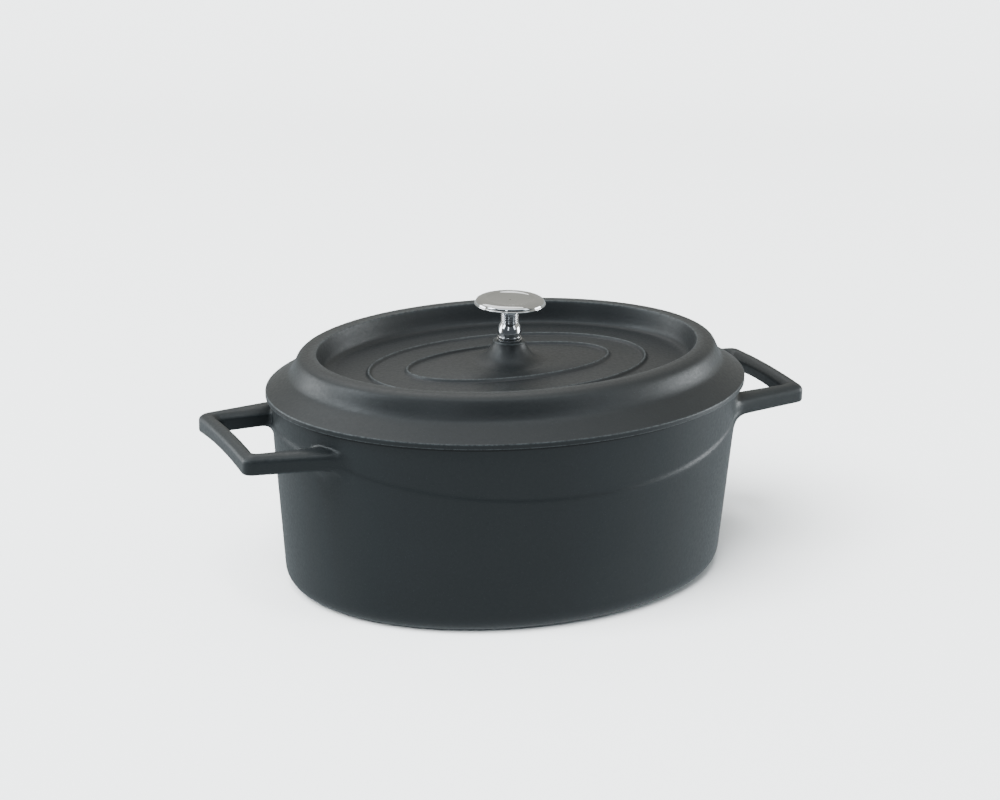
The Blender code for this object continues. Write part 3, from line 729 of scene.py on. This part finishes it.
def make_stem(finish):
    """The turned stem: a grooved foot, a collar, a cone, fine rings on the neck, and a flared top."""
    low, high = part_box("knob_stem")
    z = low.z
    neck = z + 9.1 * MM
    top = high.z - TENON
    foot = rounded([(STEM_BORE, z), (6.8 * MM, z), (6.8 * MM, z + 1.2 * MM), (6.3 * MM, z + 1.45 * MM),
                    (6.8 * MM, z + 1.7 * MM), (7.0 * MM, z + 3.2 * MM), (7.0 * MM, z + 3.75 * MM)],
                   [0.3 * MM, 0.25 * MM, 0.2 * MM, 0.2 * MM, 0.3 * MM], 4)
    cone = spline([(7.0 * MM, z + 3.75 * MM), (6.75 * MM, z + 5.0 * MM), (6.2 * MM, z + 6.9 * MM),
                   (5.6 * MM, z + 8.1 * MM), (5.0 * MM, neck)], 5)
    path = list(foot) + list(cone[1:])
    for k in range(NECK_RINGS):
        start = neck + k * NECK_PITCH
        for turn in np.linspace(0, math.pi, 9)[1:]:
            path.append((4.62 * MM + 0.5 * MM * math.sin(turn), start + NECK_PITCH * turn / math.pi))
    end = neck + NECK_RINGS * NECK_PITCH
    flare = spline([(4.7 * MM, end), (5.2 * MM, end + 0.5 * MM), (6.1 * MM, top - 0.7 * MM),
                    (7.6 * MM, top)], 5)
    path += list(flare[1:])
    path += [(4.0 * MM, top), (4.0 * MM, high.z), (STEM_BORE, high.z), (STEM_BORE, high.z - 0.4 * MM),
             (STEM_CENTRE, high.z - 0.4 * MM), (STEM_CENTRE, z + 9.3 * MM), (STEM_BORE, z + 9.3 * MM)]
    return lathe("stem", path, "knob_stem", finish)


def make_ring(name, node, inner, finish):
    """A flat ring with eased edges, in its CAD node's place."""
    low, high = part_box(node)
    ease = 0.18 * MM
    profile = rounded([(inner + ease, low.z), (high.x, low.z), (high.x, high.z), (inner, high.z),
                       (inner, low.z), (inner + ease, low.z)], [ease * 2] * 4, 4)
    return lathe(name, profile[1:-1], node, finish)


def make_spring_washer(finish):
    """A split ring of square wire, flattened by the screw."""
    low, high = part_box("spring_washer")
    inner = STEM_BORE
    outer = high.y
    ease = 0.2 * MM
    middle = (inner, (low.z + high.z) / 2)
    corners = [(inner, low.z), (outer, low.z), (outer, high.z), (inner, high.z)]
    outline = rounded([middle] + corners + [middle], [ease * 1.6] * 4, 4)[:-1]
    count = len(outline)
    steps = 120
    vertices = []
    for turn in np.linspace(7, 353, steps):
        a = math.radians(turn)
        vertices += [(radius * math.cos(a), radius * math.sin(a), height) for radius, height in outline]
    faces = ring_faces(count, steps, closed=False)
    faces.append(tuple(range(count)))
    faces.append(tuple(range((steps - 1) * count, steps * count)))
    return new_piece("split_washer", vertices, faces, "lid", "spring_washer", finish)


def make_screw(finish):
    """A slotted round head on a plain shank."""
    low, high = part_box("knob_screw")
    radius = high.x
    head_top = low.z + 3.6 * MM
    head = spline([(0.4 * MM, low.z), (2.4 * MM, low.z + 0.15 * MM), (4.2 * MM, low.z + 0.75 * MM),
                   (5.5 * MM, low.z + 1.8 * MM), (radius, head_top - 0.5 * MM)], 6)
    rim = rounded([head[-1], (radius, head_top), (SHANK_RADIUS, head_top)], [0.3 * MM], 4)
    shank = [(SHANK_RADIUS, head_top + 0.2 * MM), (SHANK_RADIUS, high.z - 0.8 * MM),
             (2.2 * MM, high.z), (0.4 * MM, high.z)]
    profile = list(head) + list(rim[1:]) + shank
    screw = lathe("slotted_screw", profile, "knob_screw", finish, closed=False)
    bpy.ops.mesh.primitive_cube_add(size=1.0, location=(0, 0, low.z))
    blade = bpy.context.object
    blade.scale = (16 * MM, SLOT_WIDTH, 2 * SLOT_DEPTH)
    cut = screw.modifiers.new("slot", "BOOLEAN")
    cut.operation = "DIFFERENCE"
    cut.solver = "EXACT"
    cut.object = blade
    bpy.context.view_layer.objects.active = screw
    bpy.ops.object.modifier_apply(modifier=cut.name)
    bpy.data.objects.remove(blade, do_unlink=True)
    return screw


# Materials

class Nodes:
    """Short names for building a procedural material."""

    def __init__(self, name, metallic=0.0):
        self.material = bpy.data.materials.new(name)
        self.material.use_nodes = True
        self.tree = self.material.node_tree
        self.shader = self.tree.nodes["Principled BSDF"]
        self.shader.inputs["Metallic"].default_value = metallic
        self.place = self.add("ShaderNodeTexCoord").outputs["Object"]

    def add(self, kind, **settings):
        node = self.tree.nodes.new(kind)
        for key, value in settings.items():
            setattr(node, key, value)
        return node

    def link(self, source, target):
        self.tree.links.new(source, target)

    def noise(self, scale, detail, roughness):
        node = self.add("ShaderNodeTexNoise")
        node.inputs["Scale"].default_value = scale
        node.inputs["Detail"].default_value = detail
        node.inputs["Roughness"].default_value = roughness
        self.link(self.place, node.inputs["Vector"])
        return node.outputs["Fac"]

    def between(self, source, low, high, new_low, new_high):
        node = self.add("ShaderNodeMapRange")
        sockets = ("From Min", "From Max", "To Min", "To Max")
        for socket, value in zip(sockets, (low, high, new_low, new_high)):
            node.inputs[socket].default_value = value
        self.link(source, node.inputs["Value"])
        return node.outputs["Result"]

    def product(self, first, second):
        node = self.add("ShaderNodeMath", operation="MULTIPLY")
        self.link(first, node.inputs[0])
        self.link(second, node.inputs[1])
        return node.outputs[0]

    def colours(self, source, stops):
        node = self.add("ShaderNodeValToRGB")
        ramp = node.color_ramp
        for k, (at, colour) in enumerate(stops):
            stop = ramp.elements[k] if k < 2 else ramp.elements.new(at)
            stop.position = at
            stop.color = (*colour, 1.0)
        self.link(source, node.inputs["Fac"])
        return node.outputs["Color"]

    def mix(self, share, first, second):
        node = self.add("ShaderNodeMix", data_type="RGBA")
        for target, value in zip((node.inputs[0], node.inputs[6], node.inputs[7]), (share, first, second)):
            if isinstance(value, tuple):
                target.default_value = (*value, 1.0)
            else:
                self.link(value, target)
        return node.outputs[2]

    def bump(self, source, distance, strength=1.0, normal=None):
        node = self.add("ShaderNodeBump")
        node.inputs["Strength"].default_value = strength
        node.inputs["Distance"].default_value = distance
        self.link(source, node.inputs["Height"])
        if normal is not None:
            self.link(normal, node.inputs["Normal"])
        return node.outputs["Normal"]


def cast_enamel(name, dark, light):
    """Matt enamel over a sand casting: fine grain, shallow waviness, and thinner, paler edges that are
    partly wear and partly a painted highlight, with pale flecks that are painted glints.

    Both castings are black where the lid meets the pot: a fired black rim, and painted shade for the dark
    gap between them.
    """
    n = Nodes(name)
    grain = n.noise(1300, 2.0, 0.6)
    pits = n.noise(520, 3.0, 0.6)
    waves = n.noise(60, 2.0, 0.5)
    cloud = n.noise(14, 4.0, 0.6)
    base = n.colours(cloud, [(0.3, dark), (0.7, light)])
    # Paler outward edges: partly thin, worn enamel and partly a painted highlight.
    worn_and_highlit = n.add("ShaderNodeAttribute", attribute_name="wear_and_highlight").outputs["Fac"]
    patchy = n.between(n.noise(420, 3.0, 0.7), 0.38, 0.58, 0.25, 1.0)
    worn_and_highlit = n.product(worn_and_highlit, patchy)
    base = n.mix(worn_and_highlit, base, tuple(WEAR_AND_HIGHLIGHT_GAIN * c for c in light))
    # Pale flecks: painted glints on the enamel's grain.
    glint_fleck = n.between(n.noise(1700, 1.0, 0.5), 0.66, 0.76, 0.0, 0.4)
    base = n.mix(glint_fleck, base, tuple(GLINT_FLECK_GAIN * c for c in light))
    split = n.add("ShaderNodeSeparateXYZ")
    n.link(n.place, split.inputs[0])
    height = split.outputs["Z"]
    # A black band where the lid meets the pot: a fired black rim, and painted shade for the gap between
    # them.
    below_lid = n.between(height, SEAT + 0.1 * MM, SEAT + 0.2 * MM, 1.0, 0.0)
    rim_shade_foot = POT_HEIGHT - RIM_BLACK_AND_SHADE_REACH
    rim = n.product(n.between(height, rim_shade_foot - 0.3 * MM, rim_shade_foot, 0.0, 1.0), below_lid)
    base = n.mix(rim, base, RIM_BLACK_AND_SHADE_TONE)
    n.link(base, n.shader.inputs["Base Color"])
    rough = n.between(pits, 0.3, 0.7, ENAMEL_ROUGHNESS - 0.05, ENAMEL_ROUGHNESS + 0.08)
    n.link(rough, n.shader.inputs["Roughness"])
    n.shader.inputs["Specular IOR Level"].default_value = 0.5
    normal = n.bump(waves, 0.12 * MM, 0.5)
    normal = n.bump(pits, 0.07 * MM, 0.8, normal)
    normal = n.bump(grain, 0.03 * MM, 0.8, normal)
    n.link(normal, n.shader.inputs["Normal"])
    return n.material


def chrome(name, colour, roughness):
    """Polished plating with faint scuffs and a little haze."""
    n = Nodes(name, 1.0)
    haze = n.noise(90, 3.0, 0.6)
    tone = n.colours(haze, [(0.3, tuple(0.94 * c for c in colour)), (0.7, colour)])
    n.link(tone, n.shader.inputs["Base Color"])
    n.link(n.between(haze, 0.3, 0.7, roughness * 0.7, roughness * 1.5), n.shader.inputs["Roughness"])
    scuffs = n.noise(700, 2.0, 0.5)
    n.link(n.bump(scuffs, 0.001 * MM, 0.4), n.shader.inputs["Normal"])
    return n.material


def plated_steel(name, colour, roughness):
    """Satin plated steel with a cloudy tone and fine scratches."""
    n = Nodes(name, 1.0)
    cloud = n.noise(260, 4.0, 0.6)
    tone = n.colours(cloud, [(0.3, tuple(0.75 * c for c in colour)), (0.7, colour)])
    n.link(tone, n.shader.inputs["Base Color"])
    n.link(n.between(cloud, 0.3, 0.7, roughness - 0.08, roughness + 0.1), n.shader.inputs["Roughness"])
    n.link(n.bump(n.noise(3200, 2.0, 0.6), 0.01 * MM, 0.5), n.shader.inputs["Normal"])
    return n.material


def plain(name, colour, roughness):
    """A plain matt surface for the studio."""
    n = Nodes(name)
    cloud = n.noise(3.0, 2.0, 0.5)
    tone = n.colours(cloud, [(0.3, tuple(0.995 * c for c in colour)), (0.7, colour)])
    n.link(tone, n.shader.inputs["Base Color"])
    n.shader.inputs["Roughness"].default_value = roughness
    n.shader.inputs["Specular IOR Level"].default_value = 0.1
    return n.material


# Studio

def make_sweep(finish):
    """A pale floor that curves up into the backdrop."""
    half = 4.0
    bend = 0.9
    behind = 2.1
    profile = [(-3.5, FLOOR_LEVEL), (behind - bend, FLOOR_LEVEL)]
    for turn in np.linspace(0, math.pi / 2, 24)[1:]:
        rise = bend - bend * math.cos(turn) + FLOOR_LEVEL
        profile.append((behind - bend + bend * math.sin(turn), rise))
    profile.append((behind, 4.0))
    vertices = [(x, y, z) for x in (-half, half) for y, z in profile]
    count = len(profile)
    faces = [(k, k + 1, count + k + 1, count + k) for k in range(count - 1)]
    mesh = bpy.data.meshes.new("studio_sweep")
    mesh.from_pydata(vertices, [], faces)
    mesh.shade_smooth()
    sweep = bpy.data.objects.new("studio_sweep", mesh)
    sweep.data.materials.append(finish)
    sweep.rotation_euler.z = math.radians(CAMERA_AZIMUTH)
    bpy.context.scene.collection.objects.link(sweep)
    sweep.visible_glossy = False
    sweep.visible_diffuse = False
    return sweep


def area_light(name, azimuth, elevation, distance, size, power, colour):
    """A soft light at an angle round the object, aimed at it."""
    back = towards(azimuth, elevation)
    light = bpy.data.lights.new(name, "AREA")
    light.shape = "RECTANGLE"
    light.size, light.size_y = size
    light.energy = power
    light.color = colour
    lamp = bpy.data.objects.new(name, light)
    lamp.location = LIGHT_AIM + back * distance
    lamp.rotation_euler = back.to_track_quat("Z", "Y").to_euler()
    bpy.context.scene.collection.objects.link(lamp)


def towards(azimuth, elevation):
    """The direction to a light or the camera."""
    a, e = math.radians(azimuth), math.radians(elevation)
    return Vector((math.sin(a) * math.cos(e), -math.cos(a) * math.cos(e), math.sin(e)))


def make_floor_light(sweep):
    """A wide soft light that only the floor and the backdrop take."""
    light = bpy.data.lights.new("floor_light", "SUN")
    light.energy = FLOOR_SUN
    light.angle = math.radians(FLOOR_SUN_SPREAD)
    light.color = (0.97, 0.99, 1.0)
    lamp = bpy.data.objects.new("floor_light", light)
    lamp.rotation_euler = towards(CAMERA_AZIMUTH - 35, 56).to_track_quat("Z", "Y").to_euler()
    bpy.context.scene.collection.objects.link(lamp)
    receivers = bpy.data.collections.new("floor_receivers")
    receivers.objects.link(sweep)
    lamp.light_linking.receiver_collection = receivers


def make_room():
    """A room that is dim in front, warm behind and pale below, by direction."""
    world = bpy.data.worlds.new("room")
    bpy.context.scene.world = world
    world.use_nodes = True
    tree = world.node_tree
    place = tree.nodes.new("ShaderNodeTexCoord").outputs["Generated"]

    def share(direction, low, high):
        dot = tree.nodes.new("ShaderNodeVectorMath")
        dot.operation = "DOT_PRODUCT"
        dot.inputs[1].default_value = direction
        tree.links.new(place, dot.inputs[0])
        ramp = tree.nodes.new("ShaderNodeMapRange")
        ramp.interpolation_type = "SMOOTHSTEP"
        ramp.inputs["From Min"].default_value = low
        ramp.inputs["From Max"].default_value = high
        tree.links.new(dot.outputs["Value"], ramp.inputs["Value"])
        return ramp.outputs["Result"]

    def mix(factor, first, second):
        node = tree.nodes.new("ShaderNodeMix")
        node.data_type = "RGBA"
        tree.links.new(factor, node.inputs[0])
        for target, value in ((node.inputs[6], first), (node.inputs[7], second)):
            if isinstance(value, tuple):
                target.default_value = (*value, 1.0)
            else:
                tree.links.new(value, target)
        return node.outputs[2]

    above = mix(share(towards(CAMERA_AZIMUTH, 0), -0.1, 0.5), ROOM_BEHIND, ROOM_FRONT)
    whole = mix(share((0, 0, -1), -0.04, 0.12), above, ROOM_BELOW)
    tree.links.new(whole, tree.nodes["Background"].inputs["Color"])


def make_camera():
    """The view from the front left, a little above the lid."""
    back = towards(CAMERA_AZIMUTH, CAMERA_ELEVATION)
    place = CAMERA_AIM + back * CAMERA_DISTANCE
    right = (-back).cross(Vector((0, 0, 1))).normalized()
    up = right.cross(-back)
    forward = (-back + right * CAMERA_PAN + up * CAMERA_TILT).normalized()
    level = forward.cross(Vector((0, 0, 1))).normalized()
    rise = level.cross(forward)
    roll = math.radians(CAMERA_ROLL)
    across = level * math.cos(roll) + rise * math.sin(roll)
    upright = rise * math.cos(roll) - level * math.sin(roll)
    data = bpy.data.cameras.new("camera")
    data.sensor_width = 36.0
    data.lens = CAMERA_LENS
    data.clip_start = 0.05
    data.clip_end = 20.0
    camera = bpy.data.objects.new("camera", data)
    turn = Matrix((across, upright, -forward)).transposed().to_4x4()
    camera.matrix_world = Matrix.Translation(place) @ turn
    bpy.context.scene.collection.objects.link(camera)
    bpy.context.scene.camera = camera


def main():
    """Builds every piece, its finish and the studio."""
    make_camera()
    make_floor_light(make_sweep(plain("studio_paper", (0.86, 0.87, 0.87), 0.9)))
    for settings in LIGHTS:
        area_light(*settings)
    make_room()
    make_pot(cast_enamel("pot_enamel", *POT_TONES))
    make_lid(cast_enamel("lid_enamel", *LID_TONES))
    make_cap(chrome("cap_chrome", (0.68, 0.69, 0.69), 0.04))
    make_stem(chrome("stem_chrome", (0.72, 0.73, 0.75), 0.07))
    make_ring("foot_ring", "knob_foot_ring", HOLE,
              chrome("foot_ring_chrome", (0.66, 0.67, 0.69), 0.1))
    make_ring("plain_washer", "flat_washer", HOLE,
              plated_steel("zinc_washer", (0.55, 0.55, 0.54), 0.32))
    make_spring_washer(plated_steel("spring_steel", (0.25, 0.25, 0.26), 0.42))
    make_screw(plated_steel("zinc_screw", (0.55, 0.55, 0.54), 0.32))


main()
